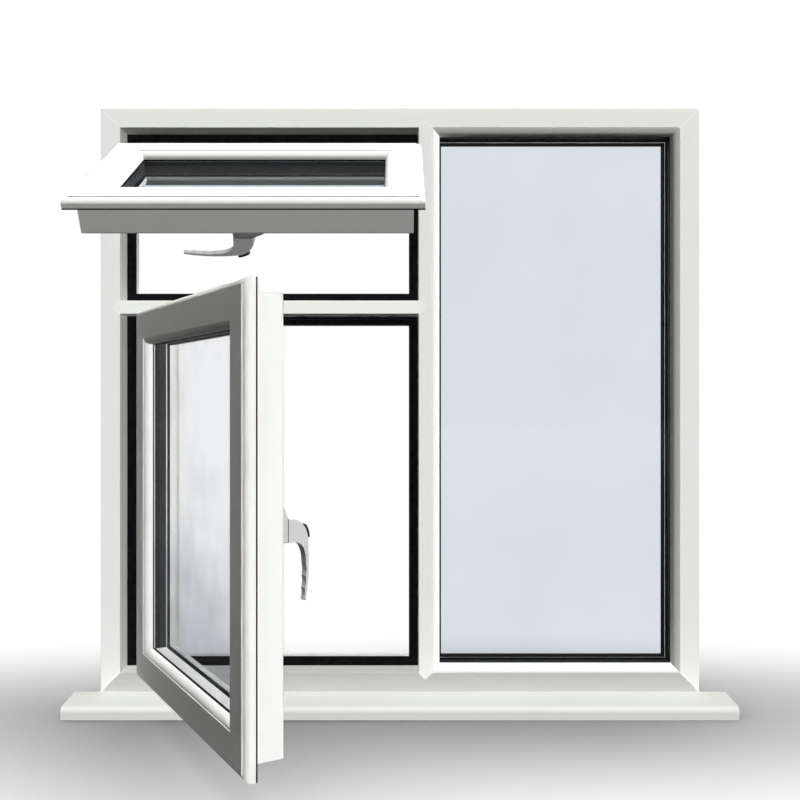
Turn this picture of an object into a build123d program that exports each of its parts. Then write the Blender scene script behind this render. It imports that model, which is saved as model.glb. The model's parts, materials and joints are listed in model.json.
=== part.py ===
from build123d import *
import os
from math import cos, degrees, radians, sin, sqrt

# A white plastic window of three lights: a top-hung fanlight over a side-hung casement
# on the left, both standing open, and a fixed light on the right, on a projecting cill.
# X runs to the right as seen from outside, Y from the outside into the room, Z up.
# The origin is on the underside of the cill, below the outer face of the frame.

# Outer frame, mullion and transom
FRAME_WIDTH = 1190.0
FRAME_HEIGHT = 1160.0
FRAME_FACE = 38.5  # outer face seen round the lights
BAR_FACE = 26.5  # outer face of the mullion and of the transom
STOP_HEIGHT = 19.0  # inner stop standing past the reveal
STOP_DEPTH = 21.0  # inner stop, from its seal face to the room
MULLION_OFFSET = 50.5  # mullion's centre line, right of the middle
FANLIGHT_OPENING = 343.75  # height between the head and the transom
FRAME_ROUND = 1.2  # rounding of the frame's outer edges
STOP_ROUND = 3.0  # rounding of the inner stop on the room side

# Cill
CILL_HEIGHT = 30.0
CILL_PROJECTION = 78.0  # in front of the frame
CILL_HORN = 52.0  # past the frame on each side
CILL_FALL = 6.0  # drop of the top from the frame to the nose
CILL_NOSE_ROUND = 11.0
CILL_CAP = 3.0  # end caps
DRIP_WIDTH = 6.0
DRIP_DEPTH = 4.0
DRIP_SETBACK = 12.0  # nose to drip groove

# Glazing
PANE = 4.0
CAVITY = 20.0
OUTER_GASKET = 2.0
INNER_GASKET = 3.0
EDGE_COVER = 12.0  # sight line to the bottom of the glazing rebate
PANE_GAP = 3.0  # pane's edge to the bottom of the rebate
GASKET_WIDTH = 8.0
GASKET_LIP = 1.2  # gasket standing past the sight line
SPACER_WIDTH = 7.0
SPACER_DROP = 1.0  # spacer below the sight line

# Mouldings of the sashes and of the fixed light's beads
MOULD_WIDTH = 11.0
MOULD_DEPTH = 16.0
MOULD_RISE = 3.6  # swell of a moulding past a straight chamfer
MOULD_LAND = 2.0  # straight edge between a moulding and the gasket
QUIRK = 1.5  # small step at the start of a moulding
BEAD_LIP = 4.0  # flat strip of the fixed light's beads
BEAD_DEPTH = 20.0  # inside beads of the sashes
BEAD_FOOT = 4.0  # height of an inside bead at its room face
BEAD_JOINT = 0.2  # hairline at the mitres of the beads

# Sashes
OPENING_ANGLE = 60.0  # degrees
FRAME_LAP = 5.0  # sash flange over the frame's face
SASH_FACE = 58.5  # flange edge to the inner moulding
EDGE_MOULD = 10.0  # rounded outer edge of the flange
FLANGE = 18.0
FLANGE_LAND = 4.0  # straight edge of the flange
SASH_LIP = 19.0  # flange standing past the body of the sash
SASH_ROUND = 3.0
SEAL = 2.5  # flange seal
SEAL_WIDTH = 5.0
RUN_CLEARANCE = 2.0  # flange seal to the frame, sash open
FANLIGHT_SHIFT = 36.5  # hinge edge from its closed place, sash open
CASEMENT_SHIFT = 38.5

# Seal on the inner stop of the frame
STOP_SEAL = 1.6
STOP_BULB = 2.4  # radius of the bulb
STOP_SEAL_GAP = 0.3

# Friction stays
STAY_GAUGE = 3.0  # thickness of the arms
STAY_WIDTH = 14.0
TRACK_WIDTH = 19.0
TRACK_HEIGHT = 4.0
TRACK_WALL = 1.6
TRACK_SETBACK = 21.0  # outer face of the frame to the track's centre line
TRACK_START = 32.0  # hinge corner to the track
TRACK_END = 12.0  # track past its last pivot
SHOE_LENGTH = 30.0
SHOE_FIT = 0.2
PIVOT_BOSS = 5.0  # radius
SHORT_ARM = 42.0  # shoe to sash
SASH_ARM = 190.0
ARM_START = 22.0  # hinge edge to the first pivot on the sash arm
ARM_PIVOTS = 38.0  # first pivot to the second

# Handles
HANDLE_BASE_LENGTH = 55.0
HANDLE_BASE_WIDTH = 24.0
HANDLE_BASE = 10.0
HANDLE_BASE_ROUND = 2.5
HANDLE_BASE_TAPER = 5.0  # degrees
BASE_SLOPE = 18.0  # sloping upper end of the base
BASE_FALL = 7.0
PAD = 1.3  # black pad between the base and the lever
PAD_FIT = 0.4
PAD_INSET = 1.2  # pad inside the outline of the hub
SPINDLE = 8.0
SPINDLE_FIT = 0.3
SPINDLE_DEPTH = 9.5
HUB_WIDTH = 20.0
HUB_ABOVE = 9.0  # spindle to the upper end of the hub
HUB_BELOW = 27.3  # spindle to the lower end of the hub
HUB_BACK = 31.0  # radius of the hub's round back
LEVER_LENGTH = 116.0  # spindle to tip
LEVER_BOW = 3.0  # outward curve of the lever's back
LEVER_BLADE = 4.5  # thickness at the upper end of the grips
LEVER_TIP = 3.5
TIP_SETBACK = 1.7  # tip towards the sash
TIP_WIDTH = 13.0
LEVER_CORNER = 3.0  # rounding of the hub's upper end and of the tip
CRANK_START = 9.5  # flat underside of the hub
CRANK_DROP = 34.0  # hub to the upper end of the grips
GRIPS = 3
GRIP_DEPTH = 1.2
BUTTON_SWEEP = 34.0  # degrees of the hub's back
BUTTON_WIDTH = 11.0
BUTTON_SEAT = 6.0  # depth of the button's pocket
BUTTON_RISE = 5.5
BUTTON_FIT = 0.2

# Sizes that follow
GLASS_UNIT = 2 * PANE + CAVITY
REVEAL_DEPTH = MOULD_DEPTH + OUTER_GASKET + GLASS_UNIT + INNER_GASKET
FRAME_DEPTH = REVEAL_DEPTH + STOP_DEPTH
SASH_DEPTH = REVEAL_DEPTH + BEAD_DEPTH
SASH_SIGHT = SASH_FACE + MOULD_WIDTH
SASH_REBATE = SASH_SIGHT - EDGE_COVER
FIXED_SIGHT = BEAD_LIP + MOULD_WIDTH
HANDLE_INSET = (SASH_LIP + SASH_REBATE) / 2
BAR_HALF = BAR_FACE / 2 + STOP_HEIGHT
STAY_ROOM = SASH_LIP - FRAME_LAP  # frame's reveal to the body of the sash
FRAME_TOP = CILL_HEIGHT + FRAME_HEIGHT
FRAME_MIDDLE = CILL_HEIGHT + FRAME_HEIGHT / 2
FRAME_SIDE = FRAME_WIDTH / 2
JAMB_EDGE = FRAME_SIDE - FRAME_FACE
HEAD_EDGE = FRAME_TOP - FRAME_FACE
SILL_EDGE = CILL_HEIGHT + FRAME_FACE
MULLION_LEFT = MULLION_OFFSET - BAR_FACE / 2
MULLION_RIGHT = MULLION_OFFSET + BAR_FACE / 2
TRANSOM_Z = HEAD_EDGE - FANLIGHT_OPENING - BAR_FACE / 2
TURN_COS = cos(radians(OPENING_ANGLE))
TURN_SIN = sin(radians(OPENING_ANGLE))
CLOSED_Y = -(FLANGE + SEAL)  # face of a closed sash
HINGE_Y = CLOSED_Y * TURN_COS - RUN_CLEARANCE  # hinge edge of an open sash
LEVER_SEAT = HANDLE_BASE + PAD_FIT + PAD
LEVER_REACH = LEVER_SEAT + HUB_BACK  # room face of the sash to the back of the hub
BACK_MIDDLE = (LEVER_SEAT, HUB_ABOVE - HUB_BACK)  # centre of the hub's round back


class Opening:
    """Upright rectangle between the reveals of one light."""

    def __init__(self, left, right, bottom, top):
        self.left, self.right, self.bottom, self.top = left, right, bottom, top
        self.width = right - left
        self.height = top - bottom
        self.middle = Pos((left + right) / 2, 0, (bottom + top) / 2)


FANLIGHT = Opening(-JAMB_EDGE, MULLION_LEFT, TRANSOM_Z + BAR_FACE / 2, HEAD_EDGE)
CASEMENT = Opening(-JAMB_EDGE, MULLION_LEFT, SILL_EDGE, TRANSOM_Z - BAR_FACE / 2)
FIXED = Opening(MULLION_RIGHT, JAMB_EDGE, SILL_EDGE, HEAD_EDGE)


def save(name, *pieces):
    """Write one named piece, made of one solid or of several that stand apart."""
    solids = [solid for piece in pieces for solid in piece.solids()]
    export_step(Compound(solids), f"parts/{name}.step")


def outline(*points):
    """Flat face inside a closed run of points."""
    return make_face(Polyline(*points, close=True))


def band(inward, depth):
    """Plain rectangular section between two pairs of limits."""
    (low, high), (front, back) = inward, depth
    return outline((low, front), (high, front), (high, back), (low, back))


def prism(points, depth):
    """Solid over an outline in the XZ plane, from Y 0 to the given depth."""
    face = make_face(Polyline(*[(x, 0, z) for x, z in points], close=True))
    return extrude(face, amount=depth, dir=(0, 1, 0))


def lengthwise(section, run):
    """Section drawn as (inward, depth), drawn out along X about the middle."""
    across = Plane(origin=(-run / 2, 0, 0), x_dir=(0, 0, 1), z_dir=(-1, 0, 0))
    return extrude(across * section, amount=run, dir=(1, 0, 0))


def mitred(section, run, joint):
    """One length of a section with 45 degree ends, its outer edge on the X axis."""
    reach = section.bounding_box().max
    half = run / 2 - joint
    ends = prism([(-half, 0), (half, 0), (half - reach.X, reach.X), (reach.X - half, reach.X)], reach.Y)
    return lengthwise(section, run) & ends


def surround(section, width, height, joint=0.0):
    """Four mitred lengths round a rectangle: bottom, top, left and right."""
    flat = mitred(section, width, joint)
    upright = mitred(section, height, joint)
    return (
        Pos(0, 0, -height / 2) * flat,
        Pos(0, 0, height / 2) * Rot(0, 180, 0) * flat,
        Pos(-width / 2, 0, 0) * Rot(0, 90, 0) * upright,
        Pos(width / 2, 0, 0) * Rot(0, -90, 0) * upright,
    )


def ring(section, width, height):
    """The same four lengths joined into one closed loop."""
    bottom, top, left, right = surround(section, width, height)
    return bottom + top + left + right


def frame_section():
    """L-shaped section of the outer frame, with its stop on the room side."""
    stop = FRAME_FACE + STOP_HEIGHT
    section = outline(
        (0, 0),
        (FRAME_FACE, 0),
        (FRAME_FACE, REVEAL_DEPTH),
        (stop, REVEAL_DEPTH),
        (stop, FRAME_DEPTH),
        (0, FRAME_DEPTH),
    )
    section = fillet(section.vertices().group_by(Axis.Y)[0], FRAME_ROUND)
    return fillet(section.vertices().group_by(Axis.Y)[-1].sort_by(Axis.X)[-1:], STOP_ROUND)


def bar_section():
    """T-shaped section of the mullion and the transom, about their centre line."""
    half = BAR_FACE / 2
    section = outline(
        (-half, 0),
        (half, 0),
        (half, REVEAL_DEPTH),
        (BAR_HALF, REVEAL_DEPTH),
        (BAR_HALF, FRAME_DEPTH),
        (-BAR_HALF, FRAME_DEPTH),
        (-BAR_HALF, REVEAL_DEPTH),
        (-half, REVEAL_DEPTH),
    )
    section = fillet(section.vertices().group_by(Axis.Y)[0], FRAME_ROUND)
    return fillet(section.vertices().group_by(Axis.Y)[-1], STOP_ROUND)


def arrow(run):
    """Prism over a bar whose two ends run to a point, as they are welded in."""
    half = run / 2
    neck = half - BAR_HALF
    upper = [(-half, 0), (-neck, BAR_HALF), (neck, BAR_HALF)]
    lower = [(half, 0), (neck, -BAR_HALF), (-neck, -BAR_HALF)]
    return prism(upper + lower, FRAME_DEPTH)


def make_frame():
    """Outer frame with the mullion and the transom welded into it."""
    middle = Pos(0, 0, FRAME_MIDDLE)
    members = surround(frame_section(), FRAME_WIDTH, FRAME_HEIGHT)
    sill, head, left_jamb, right_jamb = [middle * member for member in members]
    bar = bar_section()
    transom_end = -JAMB_EDGE - BAR_FACE / 2
    transom_run = MULLION_OFFSET - transom_end
    transom_place = Pos((MULLION_OFFSET + transom_end) / 2, 0, TRANSOM_Z)
    transom_room = transom_place * arrow(transom_run)
    mullion_run = HEAD_EDGE - SILL_EDGE + BAR_FACE
    mullion_place = Pos(MULLION_OFFSET, 0, FRAME_MIDDLE) * Rot(0, 90, 0)
    mullion_room = mullion_place * arrow(mullion_run)
    save("frame_head", head - mullion_room)
    save("frame_sill", sill - mullion_room)
    save("frame_left_jamb", left_jamb - transom_room)
    save("frame_right_jamb", right_jamb)
    save("mullion", (mullion_place * lengthwise(bar, mullion_run) & mullion_room) - transom_room)
    save("transom", transom_place * lengthwise(bar, transom_run) & transom_room)


def make_cill():
    """Sloping cill board with a rounded nose, a drip groove and capped horns."""
    nose = -CILL_PROJECTION
    drip = nose + DRIP_SETBACK
    section = outline(
        (0, FRAME_DEPTH),
        (CILL_HEIGHT, FRAME_DEPTH),
        (CILL_HEIGHT, 0),
        (CILL_HEIGHT - CILL_FALL, nose),
        (0, nose),
        (0, drip),
        (DRIP_DEPTH, drip),
        (DRIP_DEPTH, drip + DRIP_WIDTH),
        (0, drip + DRIP_WIDTH),
    )
    section = fillet(section.vertices().group_by(Axis.Y)[0].sort_by(Axis.X)[-1:], CILL_NOSE_ROUND)
    horn_middle = FRAME_SIDE + CILL_HORN / 2
    behind_horn = Box(CILL_HORN, FRAME_DEPTH, CILL_HEIGHT)
    behind_right = Pos(horn_middle, FRAME_DEPTH / 2, CILL_HEIGHT / 2) * behind_horn
    behind_left = Pos(-horn_middle, FRAME_DEPTH / 2, CILL_HEIGHT / 2) * behind_horn
    board = lengthwise(section, FRAME_WIDTH + 2 * (CILL_HORN - CILL_CAP))
    cap = lengthwise(section, CILL_CAP)
    cap_middle = FRAME_SIDE + CILL_HORN - CILL_CAP / 2
    save("cill_board", board - behind_left - behind_right)
    save("cill_left_cap", Pos(-cap_middle, 0, 0) * cap - behind_left)
    save("cill_right_cap", Pos(cap_middle, 0, 0) * cap - behind_right)


def make_stop_seals():
    """Black bulb seals on the inner stop round both opening lights."""
    strip = band((STOP_SEAL_GAP, STOP_HEIGHT), (REVEAL_DEPTH - STOP_SEAL, REVEAL_DEPTH))
    section = strip + Pos(STOP_HEIGHT / 2, REVEAL_DEPTH - STOP_SEAL) * Circle(STOP_BULB)
    section -= band((0, STOP_HEIGHT), (REVEAL_DEPTH, REVEAL_DEPTH + STOP_BULB))
    for name, light in (("fanlight", FANLIGHT), ("casement", CASEMENT)):
        save(f"{name}_stop_seal", light.middle * ring(section, light.width, light.height))


def make_glazing(name, place, width, height, sight):
    """Sealed double-glazed unit between its two gaskets; sight is the sight line's inset."""
    outer_pane = MOULD_DEPTH + OUTER_GASKET
    inner_pane = outer_pane + PANE + CAVITY
    edge = sight - EDGE_COVER + PANE_GAP
    pane = Box(width - 2 * edge, PANE, height - 2 * edge)
    panes = [place * Pos(0, front + PANE / 2, 0) * pane for front in (outer_pane, inner_pane)]
    save(f"{name}_glass", *panes)
    spacer_top = sight - SPACER_DROP
    spacer = band((spacer_top - SPACER_WIDTH, spacer_top), (outer_pane + PANE, inner_pane))
    save(f"{name}_spacer", place * ring(spacer, width, height))
    lip = (sight - GASKET_WIDTH, sight + GASKET_LIP)
    outer = band(lip, (MOULD_DEPTH, outer_pane))
    inner = band(lip, (inner_pane + PANE, REVEAL_DEPTH))
    save(f"{name}_gaskets", *[place * ring(section, width, height) for section in (outer, inner)])


def make_fixed_light():
    """Glass of the fixed light, held from outside by four moulded beads."""
    shoulder = MOULD_DEPTH - MOULD_LAND
    section = make_face(
        [
            Polyline((0, MOULD_DEPTH), (0, 0), (BEAD_LIP, 0), (BEAD_LIP, QUIRK)),
            SagittaArc((BEAD_LIP, QUIRK), (FIXED_SIGHT, shoulder), -MOULD_RISE),
            Polyline((FIXED_SIGHT, shoulder), (FIXED_SIGHT, MOULD_DEPTH), (0, MOULD_DEPTH)),
        ]
    )
    beads = surround(section, FIXED.width, FIXED.height)
    for side, bead in zip(("bottom", "top", "left", "right"), beads):
        save(f"fixed_{side}_bead", FIXED.middle * bead)
    make_glazing("fixed", FIXED.middle, FIXED.width, FIXED.height, FIXED_SIGHT)


def sash_section():
    """Sash rail: rounded flange, flat face, inner moulding and glazing rebate."""
    edge = FLANGE - FLANGE_LAND
    shoulder = MOULD_DEPTH - MOULD_LAND
    section = make_face(
        [
            Polyline((SASH_LIP, FLANGE), (0, FLANGE), (0, edge)),
            SagittaArc((0, edge), (EDGE_MOULD, QUIRK), -MOULD_RISE),
            Polyline((EDGE_MOULD, QUIRK), (EDGE_MOULD, 0), (SASH_FACE, 0), (SASH_FACE, QUIRK)),
            SagittaArc((SASH_FACE, QUIRK), (SASH_SIGHT, shoulder), -MOULD_RISE),
            Polyline(
                (SASH_SIGHT, shoulder),
                (SASH_SIGHT, MOULD_DEPTH),
                (SASH_REBATE, MOULD_DEPTH),
                (SASH_REBATE, SASH_DEPTH),
                (SASH_LIP, SASH_DEPTH),
                (SASH_LIP, FLANGE),
            ),
        ]
    )
    return fillet(section.vertices().group_by(Axis.Y)[-1].sort_by(Axis.X)[:1], SASH_ROUND)


def inside_bead_section():
    """Bead that clips in from the room, round-backed, against the inner gasket."""
    start = REVEAL_DEPTH + MOULD_LAND
    foot = SASH_REBATE + BEAD_FOOT
    return make_face(
        [
            Polyline((foot, SASH_DEPTH), (SASH_REBATE, SASH_DEPTH), (SASH_REBATE, REVEAL_DEPTH)),
            Polyline((SASH_REBATE, REVEAL_DEPTH), (SASH_SIGHT, REVEAL_DEPTH), (SASH_SIGHT, start)),
            SagittaArc((SASH_SIGHT, start), (foot, SASH_DEPTH), -MOULD_RISE),
        ]
    )


def make_sash(name, place, width, height):
    """Mitred sash with its flange seal, glass and inside beads."""
    rails = surround(sash_section(), width, height)
    for side, rail in zip(("bottom_rail", "top_rail", "left_stile", "right_stile"), rails):
        save(f"{name}_{side}", place * rail)
    seal = band((0, SEAL_WIDTH), (FLANGE, FLANGE + SEAL))
    save(f"{name}_flange_seal", place * ring(seal, width, height))
    make_glazing(name, place, width, height, SASH_SIGHT)
    beads = surround(inside_bead_section(), width, height, BEAD_JOINT)
    save(f"{name}_inside_beads", *[place * bead for bead in beads])


def handle_base():
    """Tapered plate on the room face of a sash, sloping at its upper end and bored for the spindle."""
    foot = Plane.XZ * RectangleRounded(HANDLE_BASE_WIDTH, HANDLE_BASE_LENGTH, HANDLE_BASE_ROUND)
    plate = extrude(foot, amount=-HANDLE_BASE, taper=HANDLE_BASE_TAPER)
    half = HANDLE_BASE_LENGTH / 2
    side = outline(
        (0, -half),
        (HANDLE_BASE, -half),
        (HANDLE_BASE, half - BASE_SLOPE),
        (HANDLE_BASE - BASE_FALL, half),
        (0, half),
    )
    plate &= extrude(Plane.YZ * side, amount=HANDLE_BASE_WIDTH / 2, both=True)
    bore = Cylinder(SPINDLE / 2 + SPINDLE_FIT, 2 * HANDLE_BASE, rotation=(90, 0, 0))
    return plate - bore


def lever_side():
    """Side view of the lever, drawn as (out from the sash, up)."""
    top = (LEVER_SEAT, HUB_ABOVE)
    back = (LEVER_REACH, BACK_MIDDLE[1])
    spine = SagittaArc(back, (LEVER_REACH - TIP_SETBACK, -LEVER_LENGTH), LEVER_BOW)
    first = (BACK_MIDDLE[1] + HUB_BELOW + CRANK_DROP) / (BACK_MIDDLE[1] + LEVER_LENGTH)
    marks = []
    for step in range(GRIPS + 1):
        share = step / GRIPS
        point = spine @ (1 - share * (1 - first))
        marks.append((point.X - LEVER_TIP - share * (LEVER_BLADE - LEVER_TIP), point.Y))
    grips = [SagittaArc(low, high, -GRIP_DEPTH) for low, high in zip(marks, marks[1:])]
    root = marks[-1]
    crank = (LEVER_SEAT + CRANK_START, -HUB_BELOW)
    return make_face(
        [
            TangentArc(top, back, tangent=(1, 0)),
            spine,
            Line(spine @ 1, marks[0]),
            *grips,
            Bezier(root, (root[0], -HUB_BELOW), crank),
            Polyline(crank, (LEVER_SEAT, -HUB_BELOW), top),
        ]
    )


def lever_front():
    """Front view of the lever, drawn as (across, up)."""
    hub = HUB_WIDTH / 2
    tip = TIP_WIDTH / 2
    shape = outline(
        (-hub, HUB_ABOVE),
        (hub, HUB_ABOVE),
        (hub, -HUB_BELOW),
        (tip, -LEVER_LENGTH),
        (-tip, -LEVER_LENGTH),
        (-hub, -HUB_BELOW),
    )
    rows = shape.vertices().group_by(Axis.Y)
    return fillet(rows[0] + rows[-1], LEVER_CORNER)


def handle_lever():
    """Cranked lever, hanging in -Z, with a round-backed hub and scalloped finger grips."""
    body = extrude(Plane.YZ * lever_side(), amount=HUB_WIDTH / 2, both=True)
    body &= extrude(Plane.XZ * lever_front(), amount=-2 * LEVER_REACH)
    spindle = Cylinder(SPINDLE / 2, SPINDLE_DEPTH, rotation=(90, 0, 0))
    return body + Pos(0, LEVER_SEAT - SPINDLE_DEPTH / 2, 0) * spindle


def lever_pad():
    """Thin black pad under the hub, round the spindle."""
    size = (HUB_WIDTH - 2 * PAD_INSET, HUB_ABOVE + HUB_BELOW - 2 * PAD_INSET)
    shape = Pos(0, (HUB_ABOVE - HUB_BELOW) / 2) * RectangleRounded(*size, LEVER_CORNER)
    shape -= Circle(SPINDLE / 2 + SPINDLE_FIT)
    return extrude(Plane.XZ.offset(PAD - LEVER_SEAT) * shape, amount=-PAD)


def button_block(fit):
    """Push button on the round back of the hub, or its pocket where the fit is nothing."""
    slack = degrees(fit / HUB_BACK)
    sweep = BUTTON_SWEEP - 2 * slack
    floor = CenterArc(BACK_MIDDLE, HUB_BACK - BUTTON_SEAT, slack, sweep)
    crown = CenterArc(BACK_MIDDLE, HUB_BACK + BUTTON_RISE, slack, sweep)
    side = make_face([floor, Line(floor @ 1, crown @ 1), crown, Line(crown @ 0, floor @ 0)])
    return extrude(Plane.YZ * side, amount=BUTTON_WIDTH / 2 - fit, both=True)


def make_handle(name, place):
    """Handle on a sash: fixed base, turning lever, its pad and the lock button in the lever."""
    save(f"{name}_handle_base", place * handle_base())
    save(f"{name}_handle_lever", place * (handle_lever() - button_block(0)))
    save(f"{name}_lever_pad", place * lever_pad())
    save(f"{name}_lock_button", place * button_block(BUTTON_FIT))


def flat_arm(start, end, low, high):
    """Flat bar with round ends between two pivots in plan."""
    ends = [Pos(*point) * Circle(STAY_WIDTH / 2) for point in (start, end)]
    return Pos(0, 0, low) * extrude(make_hull(ends[0].edges() + ends[1].edges()), amount=high - low)


def stay(shift):
    """Friction stay of one sash edge: track, shoe, two arms and the arm on the sash.

    X runs along the track from the hinge corner, Y into the room, Z from the reveal to the sash.
    """
    depth_on_sash = TRACK_SETBACK - CLOSED_Y
    hinge = shift - FRAME_LAP

    def on_sash(along):
        x = hinge + along * TURN_COS + depth_on_sash * TURN_SIN
        y = HINGE_Y - along * TURN_SIN + depth_on_sash * TURN_COS
        return x, y

    near, far = on_sash(ARM_START), on_sash(ARM_START + ARM_PIVOTS)
    shoe_x = near[0] - sqrt(SHORT_ARM**2 - (near[1] - TRACK_SETBACK) ** 2)
    closed_far = ARM_START + ARM_PIVOTS - FRAME_LAP
    swing = (far[1] - TRACK_SETBACK) ** 2
    fixed_x = (far[0] ** 2 + swing - closed_far**2) / (2 * (far[0] - closed_far))
    run = fixed_x + TRACK_END - TRACK_START
    middle = TRACK_START + run / 2
    track = Pos(middle, TRACK_SETBACK, TRACK_HEIGHT / 2) * Box(run, TRACK_WIDTH, TRACK_HEIGHT)
    groove = TRACK_WIDTH - 2 * TRACK_WALL
    lift = (TRACK_HEIGHT + TRACK_WALL) / 2
    track -= Pos(middle, TRACK_SETBACK, lift) * Box(run, groove, TRACK_HEIGHT - TRACK_WALL)
    boss = Cylinder(PIVOT_BOSS, TRACK_HEIGHT - TRACK_WALL)
    track += Pos(fixed_x, TRACK_SETBACK, lift) * boss
    shoe = Box(SHOE_LENGTH, groove - 2 * SHOE_FIT, TRACK_HEIGHT - TRACK_WALL)
    shoe = Pos(shoe_x, TRACK_SETBACK, lift) * shoe
    arm_top = TRACK_HEIGHT + STAY_GAUGE
    short_arm = flat_arm((shoe_x, TRACK_SETBACK), near, TRACK_HEIGHT, arm_top)
    long_arm = flat_arm((fixed_x, TRACK_SETBACK), far, TRACK_HEIGHT, arm_top)
    sash_arm = flat_arm(near, on_sash(ARM_START + SASH_ARM), STAY_ROOM - STAY_GAUGE, STAY_ROOM)
    post = STAY_ROOM - STAY_GAUGE - arm_top
    for pivot in (near, far):
        sash_arm += Pos(*pivot, arm_top + post / 2) * Cylinder(PIVOT_BOSS, post)
    return track, shoe, (short_arm, long_arm), sash_arm


def make_stays(name, shift, first, second):
    """A pair of stays on opposite reveals; the second is the mirror image of the first."""
    track, shoe, arms, sash_arm = stay(shift)

    def pair(*solids):
        return [first * solid for solid in solids] + [second * mirror(solid, Plane.XY) for solid in solids]

    save(f"{name}_stay_tracks", *pair(track))
    save(f"{name}_stay_shoes", *pair(shoe))
    save(f"{name}_stay_arms", *pair(*arms))
    save(f"{name}_sash_arms", *pair(sash_arm))


def make_fanlight():
    """Top-hung sash over the casement, its handle on the bottom rail."""
    width = FANLIGHT.width + 2 * FRAME_LAP
    height = FANLIGHT.height + 2 * FRAME_LAP
    top = FANLIGHT.top + FRAME_LAP - FANLIGHT_SHIFT
    middle = (FANLIGHT.left + FANLIGHT.right) / 2
    place = Pos(middle, HINGE_Y - height / 2 * TURN_SIN, top - height / 2 * TURN_COS)
    place *= Rot(-OPENING_ANGLE, 0, 0)
    make_sash("fanlight", place, width, height)
    make_handle("fanlight", place * Pos(0, SASH_DEPTH, HANDLE_INSET - height / 2) * Rot(0, 90, 0))
    downward = Rot(0, 90, 0)
    left = Pos(FANLIGHT.left, 0, FANLIGHT.top) * downward
    right = Pos(FANLIGHT.right, 0, FANLIGHT.top) * downward
    make_stays("fanlight", FANLIGHT_SHIFT, left, right)


def make_casement():
    """Side-hung sash, hinged at the left, its handle on the right stile."""
    width = CASEMENT.width + 2 * FRAME_LAP
    height = CASEMENT.height + 2 * FRAME_LAP
    left = CASEMENT.left - FRAME_LAP + CASEMENT_SHIFT
    middle = (CASEMENT.bottom + CASEMENT.top) / 2
    place = Pos(left + width / 2 * TURN_COS, HINGE_Y - width / 2 * TURN_SIN, middle)
    place *= Rot(0, 0, -OPENING_ANGLE)
    make_sash("casement", place, width, height)
    make_handle("casement", place * Pos(width / 2 - HANDLE_INSET, SASH_DEPTH, 0))
    bottom = Pos(CASEMENT.left, 0, CASEMENT.bottom)
    top = Pos(CASEMENT.left, 0, CASEMENT.top)
    make_stays("casement", CASEMENT_SHIFT, bottom, top)


os.makedirs("parts", exist_ok=True)
make_frame()
make_cill()
make_stop_seals()
make_fixed_light()
make_fanlight()
make_casement()
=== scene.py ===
"""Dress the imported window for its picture: finishes, small fittings, studio light and camera."""
import json
from math import copysign, cos, pi, radians, sin

import bmesh
import bpy
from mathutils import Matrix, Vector
from mathutils.geometry import convex_hull_2d


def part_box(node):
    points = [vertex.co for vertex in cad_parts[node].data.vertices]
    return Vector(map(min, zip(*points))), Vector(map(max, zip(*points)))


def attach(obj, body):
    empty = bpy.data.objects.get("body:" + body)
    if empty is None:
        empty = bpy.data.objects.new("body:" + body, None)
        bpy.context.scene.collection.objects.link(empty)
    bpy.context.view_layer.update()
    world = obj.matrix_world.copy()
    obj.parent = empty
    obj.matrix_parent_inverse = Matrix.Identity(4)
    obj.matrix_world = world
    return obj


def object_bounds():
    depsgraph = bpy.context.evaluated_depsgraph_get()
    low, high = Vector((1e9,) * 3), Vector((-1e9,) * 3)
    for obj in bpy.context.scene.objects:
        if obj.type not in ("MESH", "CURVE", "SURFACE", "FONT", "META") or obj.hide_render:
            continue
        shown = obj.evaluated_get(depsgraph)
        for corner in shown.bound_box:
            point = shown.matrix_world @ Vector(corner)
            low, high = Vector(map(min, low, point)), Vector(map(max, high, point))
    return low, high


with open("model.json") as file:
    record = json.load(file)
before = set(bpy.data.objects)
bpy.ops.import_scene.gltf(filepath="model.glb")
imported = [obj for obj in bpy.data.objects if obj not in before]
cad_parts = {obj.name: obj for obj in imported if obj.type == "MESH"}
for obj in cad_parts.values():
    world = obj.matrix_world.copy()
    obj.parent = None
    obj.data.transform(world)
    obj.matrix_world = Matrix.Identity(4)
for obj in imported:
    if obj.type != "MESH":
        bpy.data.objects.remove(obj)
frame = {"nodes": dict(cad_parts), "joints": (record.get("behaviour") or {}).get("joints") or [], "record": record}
cad_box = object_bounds()

# Camera, in metres, as the photograph was taken
CAMERA_PLACE = (0.0, -1.862, 0.610)
CAMERA_LENS = 42.14  # millimetres on a sensor 36 mm wide
SENSOR = 36.0

# Lamps: the brightness that each gives a white face turned to X, Y or Z
KEY_LIGHT = (0.225, -0.50, 0.75)
FRONT_LIGHT = (0.0, -0.18, 0.0)
BAR_LIGHT = (0.0, -0.09, 0.0)
FANLIGHT_LIGHT = (0.0, -0.15, 0.03)
BEAD_LIGHT = (0.25, -0.30, 0.25)
RIGHT_LIGHT = (0.64, 0.0, 0.0)
LOCK_LIGHT = (0.155, -0.268, 0.0)
SILL_LIGHT = (0.10, -0.28, 0.42)
CILL_LIGHT = (0.10, -0.54, 0.50)
LEFT_LIGHT = (-0.02, 0.0, 0.0)
ROOM_LIGHT = (0.0, 0.55, 0.06)
WHITE = 0.82  # what white plastic gives back of the light on it
SUN_SIZE = 20.0  # degrees

# Sky, as parts of a direction's unit vector
DOME_TOWARDS = (0.20, -0.50, 0.84)
DOME_LIGHT = 0.38
BACKDROP_FADE = (-0.1, 0.3)  # Y over which gloss begins to show the white backdrop
CEILING_FADE = (0.2, 0.6)  # Z over which gloss sees the backdrop turn into a dark ceiling
CEILING_GLOSS = 0.1

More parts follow.
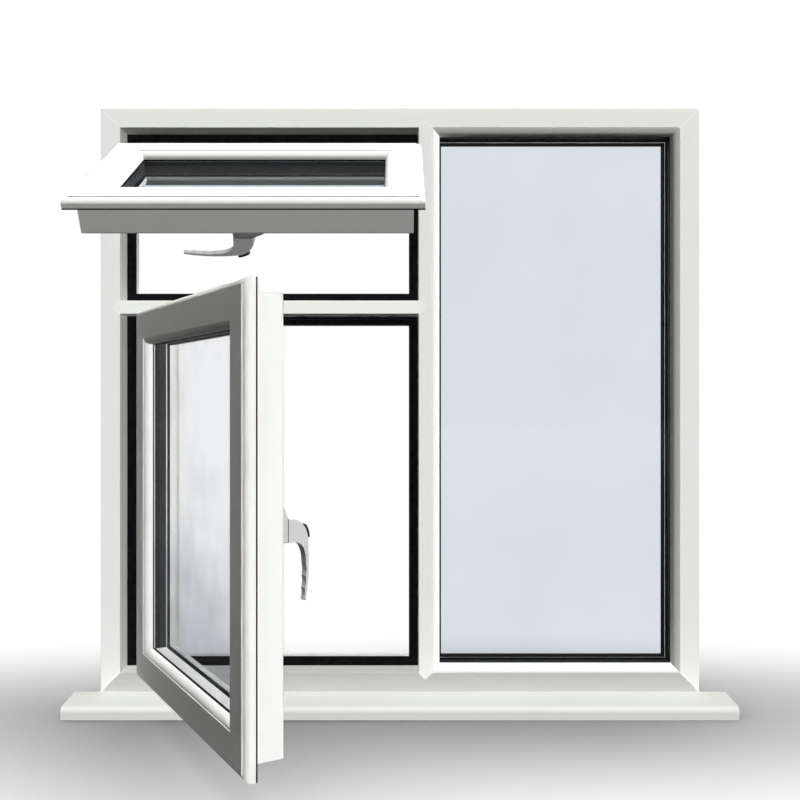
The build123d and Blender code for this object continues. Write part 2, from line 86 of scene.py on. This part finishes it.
# Floor, in metres
FLOOR_SIDE = 40.0
FLOOR_DARK = (0.02, 0.02, 0.02, 1.0)  # what the floor gives back of the lamps' light
SHADOW_REACH = 0.55
SHADOW_SAMPLES = 24
POOL_MIDDLE = -0.02  # soft pool of shade along the foot of the window
POOL_REACH = (2.5, 0.55)
POOL_SHADE = 0.55
GLOSS_NEAR = 0.25  # share of the white floor that gloss shows near the window, and far off
GLOSS_FAR = 1.0
GLOSS_REACH = (1.0, 9.0)

# Small fittings, in metres
WELD_WIDTH = 0.0016
WELD_RISE = 0.00012
# Across a weld, as shares of half its width and of its rise
WELD_PROFILE = ((-1.0, 0.0), (-0.5, 0.8), (0.0, 1.0), (0.5, 0.8), (1.0, 0.0))
STOP_WIDTH = 0.019  # stop of the frame on the room side of the fixed light, past the beads
SEAL_COVER = 0.0018  # room seal on the face of that stop
SEAL_THICK = 0.0008
SEAL_SPAN = (0.049, 0.067)  # face of the stop, and the end of the black lining along its edge, which stands in for shade there
PAD_SHADOW_RIM = 0.0012  # black rim from the pad of a lever to the outline of its hub, standing in for the shadow in the gap under the hub
ARM_END = 0.007  # end of a stay arm to its pivot
RIVET_RADIUS = 0.0042
RIVET_RISE = 0.0012
RIVET_RINGS = 4
RIVET_STEPS = 16

# Glass
GLASS_COLOR = (0.911, 0.928, 0.945)
# Painted reflection: the paler tint of slow clouds on the glass
GLASS_REFLECTED_CLOUD = (0.921, 0.936, 0.951)
# Painted reflection on the casement's glass, darker towards its foot
REFLECTION_DARK = (0.842, 0.848, 0.862)
REFLECTION_PALE = (0.964, 0.966, 0.971)
REFLECTION_SPAN = (0.12, 0.50)  # of the casement's glass, from its foot, over which the painted reflection fades from dark to pale
REFLECTION_DRIFT = 0.32  # how far cloudy patches move the painted reflection up and down, as a share of its span
SHEEN_LEAST = 0.006
SHEEN_MOST = 0.12
SHEEN_POWER = 5.0
SHEEN_ROUGHNESS = 0.02
EDGE_LEAN = 0.5  # a pane's narrow edges turn further from its face than this cosine

# Colours
WELD_COLOR = (0.93, 0.935, 0.915)
WELD_SHADE = (0.90, 0.905, 0.885)
PLASTIC_COLOR = (0.820, 0.832, 0.795)
PLASTIC_SHADE = (0.800, 0.812, 0.772)
RUBBER_COLOR = (0.003, 0.003, 0.004)
RUBBER_SHADE = (0.009, 0.009, 0.010)
SPACER_COLOR = (0.025, 0.026, 0.029)
SPACER_SHADE = (0.015, 0.016, 0.018)
# Painted light on the casement's spacer: the pale tone where it faces up
LIT_TOP_COLOR = (0.80, 0.80, 0.765)
LIT_TOP_TURN = (0.5, 0.9)  # upward part of the normal over which the bar turns pale with painted light
STEEL_COLOR = (0.60, 0.60, 0.59)
STEEL_SHADE = (0.46, 0.46, 0.45)
HANDLE_COLOR = (0.845, 0.845, 0.835)
HANDLE_SHADE = (0.815, 0.815, 0.805)
BLACK_COLOR = (0.014, 0.014, 0.015)
BLACK_SHADE = (0.026, 0.026, 0.027)


def noise(tree, place, scale, detail=3.0, stretch=(1.0, 1.0, 1.0)):
    """Noise over the object's own metres; the stretch draws it out into streaks."""
    mapping = tree.nodes.new("ShaderNodeMapping")
    mapping.inputs["Scale"].default_value = stretch
    tree.links.new(place, mapping.inputs["Vector"])
    texture = tree.nodes.new("ShaderNodeTexNoise")
    texture.inputs["Scale"].default_value = scale
    texture.inputs["Detail"].default_value = detail
    tree.links.new(mapping.outputs["Vector"], texture.inputs["Vector"])
    return texture.outputs["Fac"]


def spread(tree, factor, low, high, start=0.3, end=0.7):
    """A number that follows another between two limits; noise lies mostly between the default ones."""
    node = tree.nodes.new("ShaderNodeMapRange")
    node.inputs["From Min"].default_value = start
    node.inputs["From Max"].default_value = end
    node.inputs["To Min"].default_value = low
    node.inputs["To Max"].default_value = high
    tree.links.new(factor, node.inputs["Value"])
    return node.outputs["Result"]


def blend(tree, factor, low, high):
    """A colour between two tones, each a colour or the output of another node."""
    node = tree.nodes.new("ShaderNodeMix")
    node.data_type = "RGBA"
    tree.links.new(factor, node.inputs["Factor"])
    sockets = [socket for socket in node.inputs if socket.type == "RGBA"]
    for socket, tone in zip(sockets, (low, high)):
        if isinstance(tone, tuple):
            socket.default_value = (*tone, 1.0)
        else:
            tree.links.new(tone, socket)
    return [socket for socket in node.outputs if socket.type == "RGBA"][0]


def combine(tree, operation, first, second):
    """Sum, product, larger or other function of two numbers."""
    node = tree.nodes.new("ShaderNodeMath")
    node.operation = operation
    tree.links.new(first, node.inputs[0])
    tree.links.new(second, node.inputs[1])
    return node.outputs["Value"]


def part_of(tree, vector, axis):
    """One of the three numbers of a vector."""
    node = tree.nodes.new("ShaderNodeSeparateXYZ")
    tree.links.new(vector, node.inputs["Vector"])
    return node.outputs[axis]


def mix_shaders(tree, factor, first, second, output_type):
    """Output of a material or world that goes from one shader to another."""
    mix = tree.nodes.new("ShaderNodeMixShader")
    tree.links.new(factor, mix.inputs["Fac"])
    tree.links.new(first.outputs[0], mix.inputs[1])
    tree.links.new(second.outputs[0], mix.inputs[2])
    output = tree.nodes.new(output_type)
    tree.links.new(mix.outputs["Shader"], output.inputs["Surface"])


class Finish:
    """A procedural material: one shader whose colour, gloss and relief come from noise."""

    def __init__(self, name, specular):
        self.material = bpy.data.materials.new(name)
        self.material.use_nodes = True
        self.tree = self.material.node_tree
        self.shader = self.tree.nodes["Principled BSDF"]
        self.socket("Specular IOR Level").default_value = specular
        self.place = self.tree.nodes.new("ShaderNodeTexCoord").outputs["Object"]

    def socket(self, name):
        return self.shader.inputs[name]

    def noise(self, scale, detail=3.0, stretch=(1.0, 1.0, 1.0)):
        return noise(self.tree, self.place, scale, detail, stretch)

    def color(self, factor, low, high):
        """Base colour that drifts between two tones with the noise."""
        tone = blend(self.tree, spread(self.tree, factor, 0.0, 1.0), low, high)
        self.tree.links.new(tone, self.socket("Base Color"))

    def roughness(self, factor, low, high):
        self.tree.links.new(spread(self.tree, factor, low, high), self.socket("Roughness"))

    def relief(self, factor, height, strength):
        """Fine relief of the given height in metres."""
        node = self.tree.nodes.new("ShaderNodeBump")
        node.inputs["Strength"].default_value = strength
        node.inputs["Distance"].default_value = height
        self.tree.links.new(factor, node.inputs["Height"])
        self.tree.links.new(node.outputs["Normal"], self.socket("Normal"))


class Pane:
    """Glass that bends no light: a tinted film with a mirror sheen that grows at a slant."""

    def __init__(self, name):
        self.material = bpy.data.materials.new(name)
        self.material.use_nodes = True
        self.tree = self.material.node_tree
        self.tree.nodes.clear()
        self.place = self.tree.nodes.new("ShaderNodeTexCoord").outputs["Object"]
        self.clear = self.tree.nodes.new("ShaderNodeBsdfTransparent")
        sheen = self.tree.nodes.new("ShaderNodeBsdfGlossy")
        sheen.inputs["Roughness"].default_value = SHEEN_ROUGHNESS
        slant = self.tree.nodes.new("ShaderNodeLayerWeight")
        power = self.tree.nodes.new("ShaderNodeMath")
        power.operation = "POWER"
        power.inputs[1].default_value = SHEEN_POWER
        self.tree.links.new(slant.outputs["Facing"], power.inputs[0])
        share = spread(self.tree, power.outputs["Value"], SHEEN_LEAST, SHEEN_MOST, 0.0, 1.0)
        mix_shaders(self.tree, share, self.clear, sheen, "ShaderNodeOutputMaterial")

    def tint(self, factor, low, high):
        """Tint of each face of a pane, between two tones."""
        self.tree.links.new(blend(self.tree, factor, low, high), self.clear.inputs["Color"])


def white_plastic():
    finish = Finish("white_plastic", specular=0.02)
    finish.color(finish.noise(scale=7.0), PLASTIC_SHADE, PLASTIC_COLOR)
    finish.roughness(finish.noise(scale=60.0), low=0.34, high=0.46)
    finish.relief(finish.noise(scale=1400.0, detail=2.0), height=0.00004, strength=0.25)
    return finish.material


def weld_ridge():
    finish = Finish("weld_ridge", specular=0.1)
    finish.color(finish.noise(scale=90.0), WELD_SHADE, WELD_COLOR)
    finish.roughness(finish.noise(scale=300.0), low=0.4, high=0.55)
    return finish.material


def black_rubber():
    finish = Finish("black_rubber", specular=0.06)
    finish.color(finish.noise(scale=90.0), RUBBER_COLOR, RUBBER_SHADE)
    finish.roughness(finish.noise(scale=240.0), low=0.55, high=0.75)
    finish.relief(finish.noise(scale=2600.0), height=0.00005, strength=0.3)
    return finish.material


def spacer_bar():
    finish = Finish("spacer_bar", specular=0.15)
    finish.color(finish.noise(scale=120.0), SPACER_SHADE, SPACER_COLOR)
    finish.roughness(finish.noise(scale=300.0), low=0.32, high=0.45)
    return finish.material


def spacer_lit_top():
    """The same bar, painted pale on what faces up as if lit from above: painted light."""
    finish = Finish("spacer_lit_top", specular=0.15)
    normal = finish.tree.nodes.new("ShaderNodeNewGeometry").outputs["Normal"]
    # painted light: pale where the bar faces up
    upward = spread(finish.tree, part_of(finish.tree, normal, "Z"), 0.0, 1.0, *LIT_TOP_TURN)
    grain = spread(finish.tree, finish.noise(scale=120.0), 0.0, 1.0)
    bar = blend(finish.tree, grain, SPACER_SHADE, SPACER_COLOR)
    finish.tree.links.new(blend(finish.tree, upward, bar, LIT_TOP_COLOR), finish.socket("Base Color"))
    finish.roughness(finish.noise(scale=300.0), low=0.45, high=0.6)
    return finish.material


def brushed_steel():
    finish = Finish("brushed_steel", specular=0.5)
    finish.socket("Metallic").default_value = 1.0
    streaks = finish.noise(scale=60.0, detail=4.0, stretch=(1.0, 1.0, 30.0))
    finish.color(streaks, STEEL_SHADE, STEEL_COLOR)
    finish.roughness(streaks, low=0.26, high=0.42)
    finish.relief(streaks, height=0.00003, strength=0.3)
    return finish.material


def coated_handle():
    finish = Finish("coated_handle", specular=0.12)
    finish.color(finish.noise(scale=40.0), HANDLE_SHADE, HANDLE_COLOR)
    finish.roughness(finish.noise(scale=160.0), low=0.30, high=0.40)
    finish.relief(finish.noise(scale=1800.0), height=0.00005, strength=0.3)
    return finish.material


def black_plastic():
    finish = Finish("black_plastic", specular=0.2)
    finish.color(finish.noise(scale=150.0), BLACK_COLOR, BLACK_SHADE)
    finish.roughness(finish.noise(scale=400.0), low=0.38, high=0.5)
    finish.relief(finish.noise(scale=3000.0), height=0.00004, strength=0.3)
    return finish.material


def blue_glass():
    """Faintly blue glass with a painted reflection of slow, pale clouds."""
    pane = Pane("blue_glass")
    reflected_clouds = spread(pane.tree, noise(pane.tree, pane.place, scale=5.0, detail=2.0), 0.0, 1.0)
    pane.tint(reflected_clouds, GLASS_COLOR, GLASS_REFLECTED_CLOUD)
    return pane.material


def painted_reflection_glass():
    """Glass with a painted reflection that darkens it in cloudy patches from the top of the casement to its foot.
    """
    pane = Pane("painted_reflection_glass")
    low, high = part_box("casement_glass")
    span = [low[2] + share * (high[2] - low[2]) for share in REFLECTION_SPAN]
    height = spread(pane.tree, part_of(pane.tree, pane.place, "Z"), 0.0, 1.0, *span)
    drift = spread(pane.tree, noise(pane.tree, pane.place, scale=9.0, detail=4.0), -REFLECTION_DRIFT, REFLECTION_DRIFT)
    level = combine(pane.tree, "ADD", height, drift)
    level.node.use_clamp = True
    # painted reflection: the tint darkens towards the foot
    pane.tint(level, REFLECTION_DARK, REFLECTION_PALE)
    return pane.material


def seal_edges(light, material):
    """Dark sealant on the narrow edges of a light's panes."""
    mesh = frame["nodes"][f"{light}_glass"].data
    mesh.materials.append(material)
    widest = max(mesh.polygons, key=lambda face: face.area).normal.copy()
    for face in mesh.polygons:
        if abs(face.normal.dot(widest)) < EDGE_LEAN:
            face.material_index = 1


def dress_nodes():
    """Give every CAD node the finish of its material slot."""
    finishes = {
        "white_plastic": white_plastic(),
        "glass": blue_glass(),
        "rubber": black_rubber(),
        "spacer": spacer_bar(),
        "stay_steel": brushed_steel(),
        "handle": coated_handle(),
        "black_plastic": black_plastic(),
    }
    for subpart in frame["record"]["subparts"]:
        mesh = frame["nodes"][subpart["node"]].data
        mesh.materials.clear()
        mesh.materials.append(finishes[subpart["material_slot"]])
    frame["nodes"]["casement_glass"].data.materials[0] = painted_reflection_glass()
    frame["nodes"]["casement_spacer"].data.materials[0] = spacer_lit_top()
    seal_edges("fixed", finishes["spacer"])
    seal_edges("fanlight", finishes["spacer"])
    return finishes


def add_piece(name, body, points, faces, material):
    """Mesh that rides on a body, given in metres."""
    mesh = bpy.data.meshes.new(name)
    mesh.from_pydata([tuple(point) for point in points], [], faces)
    shape = bmesh.new()
    shape.from_mesh(mesh)
    bmesh.ops.recalc_face_normals(shape, faces=shape.faces)
    shape.to_mesh(mesh)
    shape.free()
    mesh.materials.append(material)
    piece = bpy.data.objects.new(name, mesh)
    bpy.context.scene.collection.objects.link(piece)
    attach(piece, body)
    pieces[name] = piece
    return piece


def weld_ends():
    """Both ends of every welded joint on the face of the frame, as (x, z) pairs."""
    frame_low, frame_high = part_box("frame_left_jamb")[0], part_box("frame_right_jamb")[1]
    bead_low, bead_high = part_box("fixed_bottom_bead")[0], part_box("fixed_top_bead")[1]
    lines = []
    for side in (-1, 1):
        lines.append(((side * frame_high[0], frame_low[2]), (side * bead_high[0], bead_low[2])))
        lines.append(((side * frame_high[0], frame_high[2]), (side * bead_high[0], bead_high[2])))
    mullion_low, mullion_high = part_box("mullion")
    middle = (mullion_low[0] + mullion_high[0]) / 2
    half = mullion_high[2] - bead_high[2]
    for side in (-half, half):
        lines.append(((middle, mullion_high[2]), (middle + side, bead_high[2])))
        lines.append(((middle, mullion_low[2]), (middle + side, bead_low[2])))
    transom_low, transom_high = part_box("transom")
    level = (transom_low[2] + transom_high[2]) / 2
    for side in (-half, half):
        lines.append(((transom_low[0], level), (transom_low[0] + half, level + side)))
        lines.append(((transom_high[0], level), (transom_high[0] - half, level + side)))
    return lines


def add_welds(material):
    """Low ridges that the welding leaves along the joints, on the outside and the room side."""
    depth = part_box("transom")[1][1]
    count = len(WELD_PROFILE)
    points, faces = [], []
    for face, out in ((0.0, -1.0), (depth, 1.0)):
        for start, end in weld_ends():
            along = (Vector(end) - Vector(start)).normalized()
            across = Vector((-along.y, along.x)) * WELD_WIDTH / 2
            first = len(points)
            for spot in (Vector(start), Vector(end)):
                for step, rise in WELD_PROFILE:
                    place = spot + across * step
                    points.append((place.x, face + out * rise * WELD_RISE, place.y))
            for k in range(first, first + count - 1):
                faces.append([k, k + 1, k + count + 1, k + count])
    add_piece("frame_welds", "window", points, faces, material)


def add_ring(name, body, loops, material):
    """Closed band through loops of points that have the same number of points."""
    count = len(loops[0])
    faces = []
    for row in range(len(loops)):
        here, there = row * count, (row + 1) % len(loops) * count
        for step in range(count):
            after = (step + 1) % count
            faces.append([here + step, here + after, there + after, there + step])
    add_piece(name, body, [point for loop in loops for point in loop], faces, material)


def add_room_seal_and_shade(material):
    """Black seal on the room side of the fixed glass: a seal on the face of the frame's stop, and along the stop's
    edge a lining that stands in for the shade there.
    """
    left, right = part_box("fixed_left_bead")[0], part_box("fixed_right_bead")[1]
    face, back = SEAL_SPAN

    def loop(inset, depth):
        low_x, high_x = left[0] + inset, right[0] - inset
        low_z, high_z = left[2] + inset, right[2] - inset
        corners = ((low_x, low_z), (high_x, low_z), (high_x, high_z), (low_x, high_z))
        return [(x, depth, z) for x, z in corners]

    outer, inner = STOP_WIDTH - SEAL_COVER, STOP_WIDTH + SEAL_THICK
    # the lining along the stop's edge is painted shade; the strip on its face is a seal
    loops = [
        loop(outer, face),
        loop(outer, face - SEAL_THICK),
        loop(inner, face - SEAL_THICK),
        loop(inner, back),
        loop(STOP_WIDTH, back),
        loop(STOP_WIDTH, face),
    ]
    add_ring("fixed_room_seal", "window", loops, material)


def add_pad_shadow_rim(light, material):
    """Edge of a lever's black pad, brought out to the outline of the hub above it: a dark rim that stands in for
    the shadow in the gap under the hub.
    """
    joint = [joint for joint in frame["joints"] if joint["child"] == f"{light}_lever"][0]
    out = Vector(joint["axis"])
    side = Vector((0.0, 0.0, 0.0))
    side[min(range(3), key=lambda k: abs(out[k]))] = 1.0
    other = out.cross(side)
    points = [vertex.co for vertex in frame["nodes"][f"{light}_lever_pad"].data.vertices]
    levels = [point.dot(out) for point in points]
    flat = [Vector((point.dot(side), point.dot(other))) for point in points]
    hull = [flat[k] for k in convex_hull_2d(flat)]
    middle = sum(hull, Vector((0.0, 0.0))) / len(hull)

    def loop(grow, level):
        spots = [spot + Vector([copysign(grow, part) for part in spot - middle]) for spot in hull]
        return [side * spot.x + other * spot.y + out * level for spot in spots]

    low, high = min(levels), max(levels)
    # dark rim out to the hub's outline: painted shadow of the gap
    loops = [loop(0.0, low), loop(PAD_SHADOW_RIM, low), loop(PAD_SHADOW_RIM, high), loop(0.0, high)]
    add_ring(f"{light}_pad_rim", f"{light}_lever", loops, material)


def loose_parts(mesh):
    """Points of each separate solid of a mesh."""
    links = list(range(len(mesh.vertices)))

    def root(k):
        while links[k] != k:
            k = links[k]
        return k

    for edge in mesh.edges:
        low, high = sorted(root(k) for k in edge.vertices)
        links[high] = low
    parts = {}
    for vertex in mesh.vertices:
        parts.setdefault(root(vertex.index), []).append(vertex.co.copy())
    return list(parts.values())


def rivet(place, out, points, faces):
    """Domed head on a flat face, as rings of points round its axis."""
    side = out.orthogonal().normalized()
    other = out.cross(side)
    first = len(points)
    for level in range(RIVET_RINGS):
        lean = pi / 2 * level / RIVET_RINGS
        for step in range(RIVET_STEPS):
            turn = 2 * pi * step / RIVET_STEPS
            flat = (side * cos(turn) + other * sin(turn)) * RIVET_RADIUS * cos(lean)
            points.append(place + flat + out * RIVET_RISE * sin(lean))
    points.append(place + out * RIVET_RISE)
    for level in range(RIVET_RINGS - 1):
        for step in range(RIVET_STEPS):
            low = first + level * RIVET_STEPS
            after = (step + 1) % RIVET_STEPS
            faces.append([low + step, low + after, low + RIVET_STEPS + after, low + RIVET_STEPS + step])
    last = first + (RIVET_RINGS - 1) * RIVET_STEPS
    for step in range(RIVET_STEPS):
        faces.append([last + step, last + (step + 1) % RIVET_STEPS, len(points) - 1])


def add_rivets(light, axis, material):
    """Rivet heads at both ends of every stay arm of a sash, on both faces of the arm."""
    points, faces = [], []
    for part in loose_parts(frame["nodes"][f"{light}_stay_arms"].data):
        middle = sum(part, Vector()) / len(part)
        far = max(part, key=lambda point: (point - middle).length)
        other = max(part, key=lambda point: (point - far).length)
        low = min(point[axis] for point in part)
        high = max(point[axis] for point in part)
        along = other - far
        along[axis] = 0.0
        along.normalize()
        for end, inward in ((far, along), (other, -along)):
            for level, way in ((low, -1.0), (high, 1.0)):
                place = end + inward * ARM_END
                place[axis] = level
                out = Vector((0.0, 0.0, 0.0))
                out[axis] = way
                rivet(place, out, points, faces)
    piece = add_piece(f"{light}_stay_rivets", "window", points, faces, material)
    piece.data.shade_smooth()


def seen_rays(tree, gloss_share):
    """1 for the rays that see the background: straight, through glass and, by its share, in gloss."""
    path = tree.nodes.new("ShaderNodeLightPath")
    total = combine(tree, "MULTIPLY", path.outputs["Is Glossy Ray"], gloss_share)
    for name in ("Is Camera Ray", "Is Transmission Ray"):
        total = combine(tree, "MAXIMUM", total, path.outputs[name])
    return total


def make_world():
    """White to the eye, and a dim dome at the upper front for everything else."""
    world = bpy.data.worlds.new("studio")
    bpy.context.scene.world = world
    world.use_nodes = True
    tree = world.node_tree
    tree.nodes.clear()
    direction = tree.nodes.new("ShaderNodeTexCoord").outputs["Generated"]
    facing = tree.nodes.new("ShaderNodeVectorMath")
    facing.operation = "DOT_PRODUCT"
    facing.inputs[1].default_value = Vector(DOME_TOWARDS).normalized()
    tree.links.new(direction, facing.inputs[0])
    dome = tree.nodes.new("ShaderNodeBackground")
    strength = spread(tree, facing.outputs["Value"], 0.0, DOME_LIGHT, 0.0, 1.0)
    tree.links.new(strength, dome.inputs["Strength"])
    backdrop = tree.nodes.new("ShaderNodeBackground")
    backdrop.inputs["Color"].default_value = (1, 1, 1, 1)
    behind = spread(tree, part_of(tree, direction, "Y"), 0.0, 1.0, *BACKDROP_FADE)
    ceiling = spread(tree, part_of(tree, direction, "Z"), 1.0, CEILING_GLOSS, *CEILING_FADE)
    seen = seen_rays(tree, combine(tree, "MULTIPLY", behind, ceiling))
    mix_shaders(tree, seen, dome, backdrop, "ShaderNodeOutputWorld")


def floor_finish():
    """White floor with a painted shadow: darker where the window stands close to it, and in a soft pool along its
    foot.
    """
    material = bpy.data.materials.new("studio_floor")
    material.use_nodes = True
    tree = material.node_tree
    tree.nodes.clear()
    open_sky = tree.nodes.new("ShaderNodeAmbientOcclusion")
    open_sky.inputs["Distance"].default_value = SHADOW_REACH
    open_sky.samples = SHADOW_SAMPLES
    place = tree.nodes.new("ShaderNodeTexCoord").outputs["Object"]
    pool = tree.nodes.new("ShaderNodeMapping")
    pool.vector_type = "TEXTURE"
    pool.inputs["Location"].default_value = (0.0, POOL_MIDDLE, 0.0)
    pool.inputs["Scale"].default_value = (*POOL_REACH, 1.0)
    tree.links.new(place, pool.inputs["Vector"])
    fall = tree.nodes.new("ShaderNodeTexGradient")
    fall.gradient_type = "SPHERICAL"
    tree.links.new(pool.outputs["Vector"], fall.inputs["Vector"])
    level = spread(tree, fall.outputs["Fac"], 1.0, 1.0 - POOL_SHADE, 0.0, 1.0)
    level.node.interpolation_type = "SMOOTHSTEP"
    glow = tree.nodes.new("ShaderNodeEmission")
    tree.links.new(combine(tree, "MULTIPLY", open_sky.outputs["AO"], level), glow.inputs["Strength"])
    dark = tree.nodes.new("ShaderNodeBsdfDiffuse")
    dark.inputs["Color"].default_value = FLOOR_DARK
    away = tree.nodes.new("ShaderNodeVectorMath")
    away.operation = "LENGTH"
    tree.links.new(place, away.inputs[0])
    gloss = spread(tree, away.outputs["Value"], GLOSS_NEAR, GLOSS_FAR, *GLOSS_REACH)
    mix_shaders(tree, seen_rays(tree, gloss), dark, glow, "ShaderNodeOutputMaterial")
    return material


def make_floor():
    half = FLOOR_SIDE / 2
    level = cad_box[0][2]
    mesh = bpy.data.meshes.new("floor")
    corners = [(-half, -half, level), (half, -half, level), (half, half, level), (-half, half, level)]
    mesh.from_pydata(corners, [], [(0, 1, 2, 3)])
    mesh.materials.append(floor_finish())
    floor = bpy.data.objects.new("floor", mesh)
    bpy.context.scene.collection.objects.link(floor)


def add_sun(name, light, names):
    """Soft lamp from far away that casts no shadow and lights only the pieces with the given names."""
    towards = Vector(light)
    lamp = bpy.data.lights.new(name, "SUN")
    lamp.energy = pi * towards.length / WHITE
    lamp.angle = radians(SUN_SIZE)
    lamp.use_shadow = False
    holder = bpy.data.objects.new(name, lamp)
    holder.rotation_euler = towards.to_track_quat("Z", "Y").to_euler()
    holder.visible_transmission = False
    holder.visible_glossy = False
    lit = bpy.data.collections.new(name + "_lights")
    for piece in names:
        lit.objects.link(pieces[piece])
    holder.light_linking.receiver_collection = lit
    bpy.context.scene.collection.objects.link(holder)


def light_window():
    """Lamps for the groups of pieces that the photograph shows in different light."""
    cill = [name for name in pieces if name.startswith("cill_")]
    fanlight = [name for name in pieces if name.startswith("fanlight_") and "_stop_" not in name]
    casement = [name for name in pieces if name.startswith("casement_") and "_stop_" not in name]
    lever = [*frame["record"]["behaviour"]["bodies"]["fanlight_lever"], "fanlight_pad_rim"]
    bright = ["fixed_left_bead", "fixed_bottom_bead"]
    shaded = ["fixed_right_bead", "fixed_top_bead", "fanlight_handle_lever"]
    members = ["frame_head", "frame_left_jamb", "frame_right_jamb", "mullion", "transom", "frame_welds"]
    add_sun("key", KEY_LIGHT, [name for name in pieces if name not in [*cill, *shaded, "frame_sill"]])
    add_sun("front", FRONT_LIGHT, members + bright)
    add_sun("bar", BAR_LIGHT, ["transom"])
    add_sun("fanlight", FANLIGHT_LIGHT, [name for name in fanlight if name.endswith(("_rail", "_stile"))])
    add_sun("bead", BEAD_LIGHT, shaded)
    add_sun("right", RIGHT_LIGHT, [name for name in fanlight if name not in shaded] + bright)
    add_sun("lock", LOCK_LIGHT, [name for name in casement if "_handle_" not in name])
    add_sun("sill", SILL_LIGHT, ["frame_sill"])
    add_sun("cill", CILL_LIGHT, cill)
    add_sun("left", LEFT_LIGHT, pieces)
    add_sun("room", ROOM_LIGHT, [name for name in pieces if name not in lever])
    for name in fanlight + casement:
        pieces[name].visible_diffuse = False  # the bright sashes throw no light on what is near them


def make_camera():
    lens = bpy.data.cameras.new("camera")
    lens.sensor_width = SENSOR
    lens.lens = CAMERA_LENS
    camera = bpy.data.objects.new("camera", lens)
    camera.location = CAMERA_PLACE
    camera.rotation_euler = (radians(90.0), 0.0, 0.0)
    bpy.context.scene.collection.objects.link(camera)
    bpy.context.scene.camera = camera


pieces = dict(frame["nodes"])
finishes = dress_nodes()
add_welds(weld_ridge())
add_room_seal_and_shade(finishes["rubber"])
add_pad_shadow_rim("fanlight", finishes["black_plastic"])
add_pad_shadow_rim("casement", finishes["black_plastic"])
add_rivets("fanlight", 0, finishes["stay_steel"])
add_rivets("casement", 2, finishes["stay_steel"])
make_world()
make_floor()
light_window()
make_camera()
bpy.context.scene.view_settings.view_transform = "Standard"
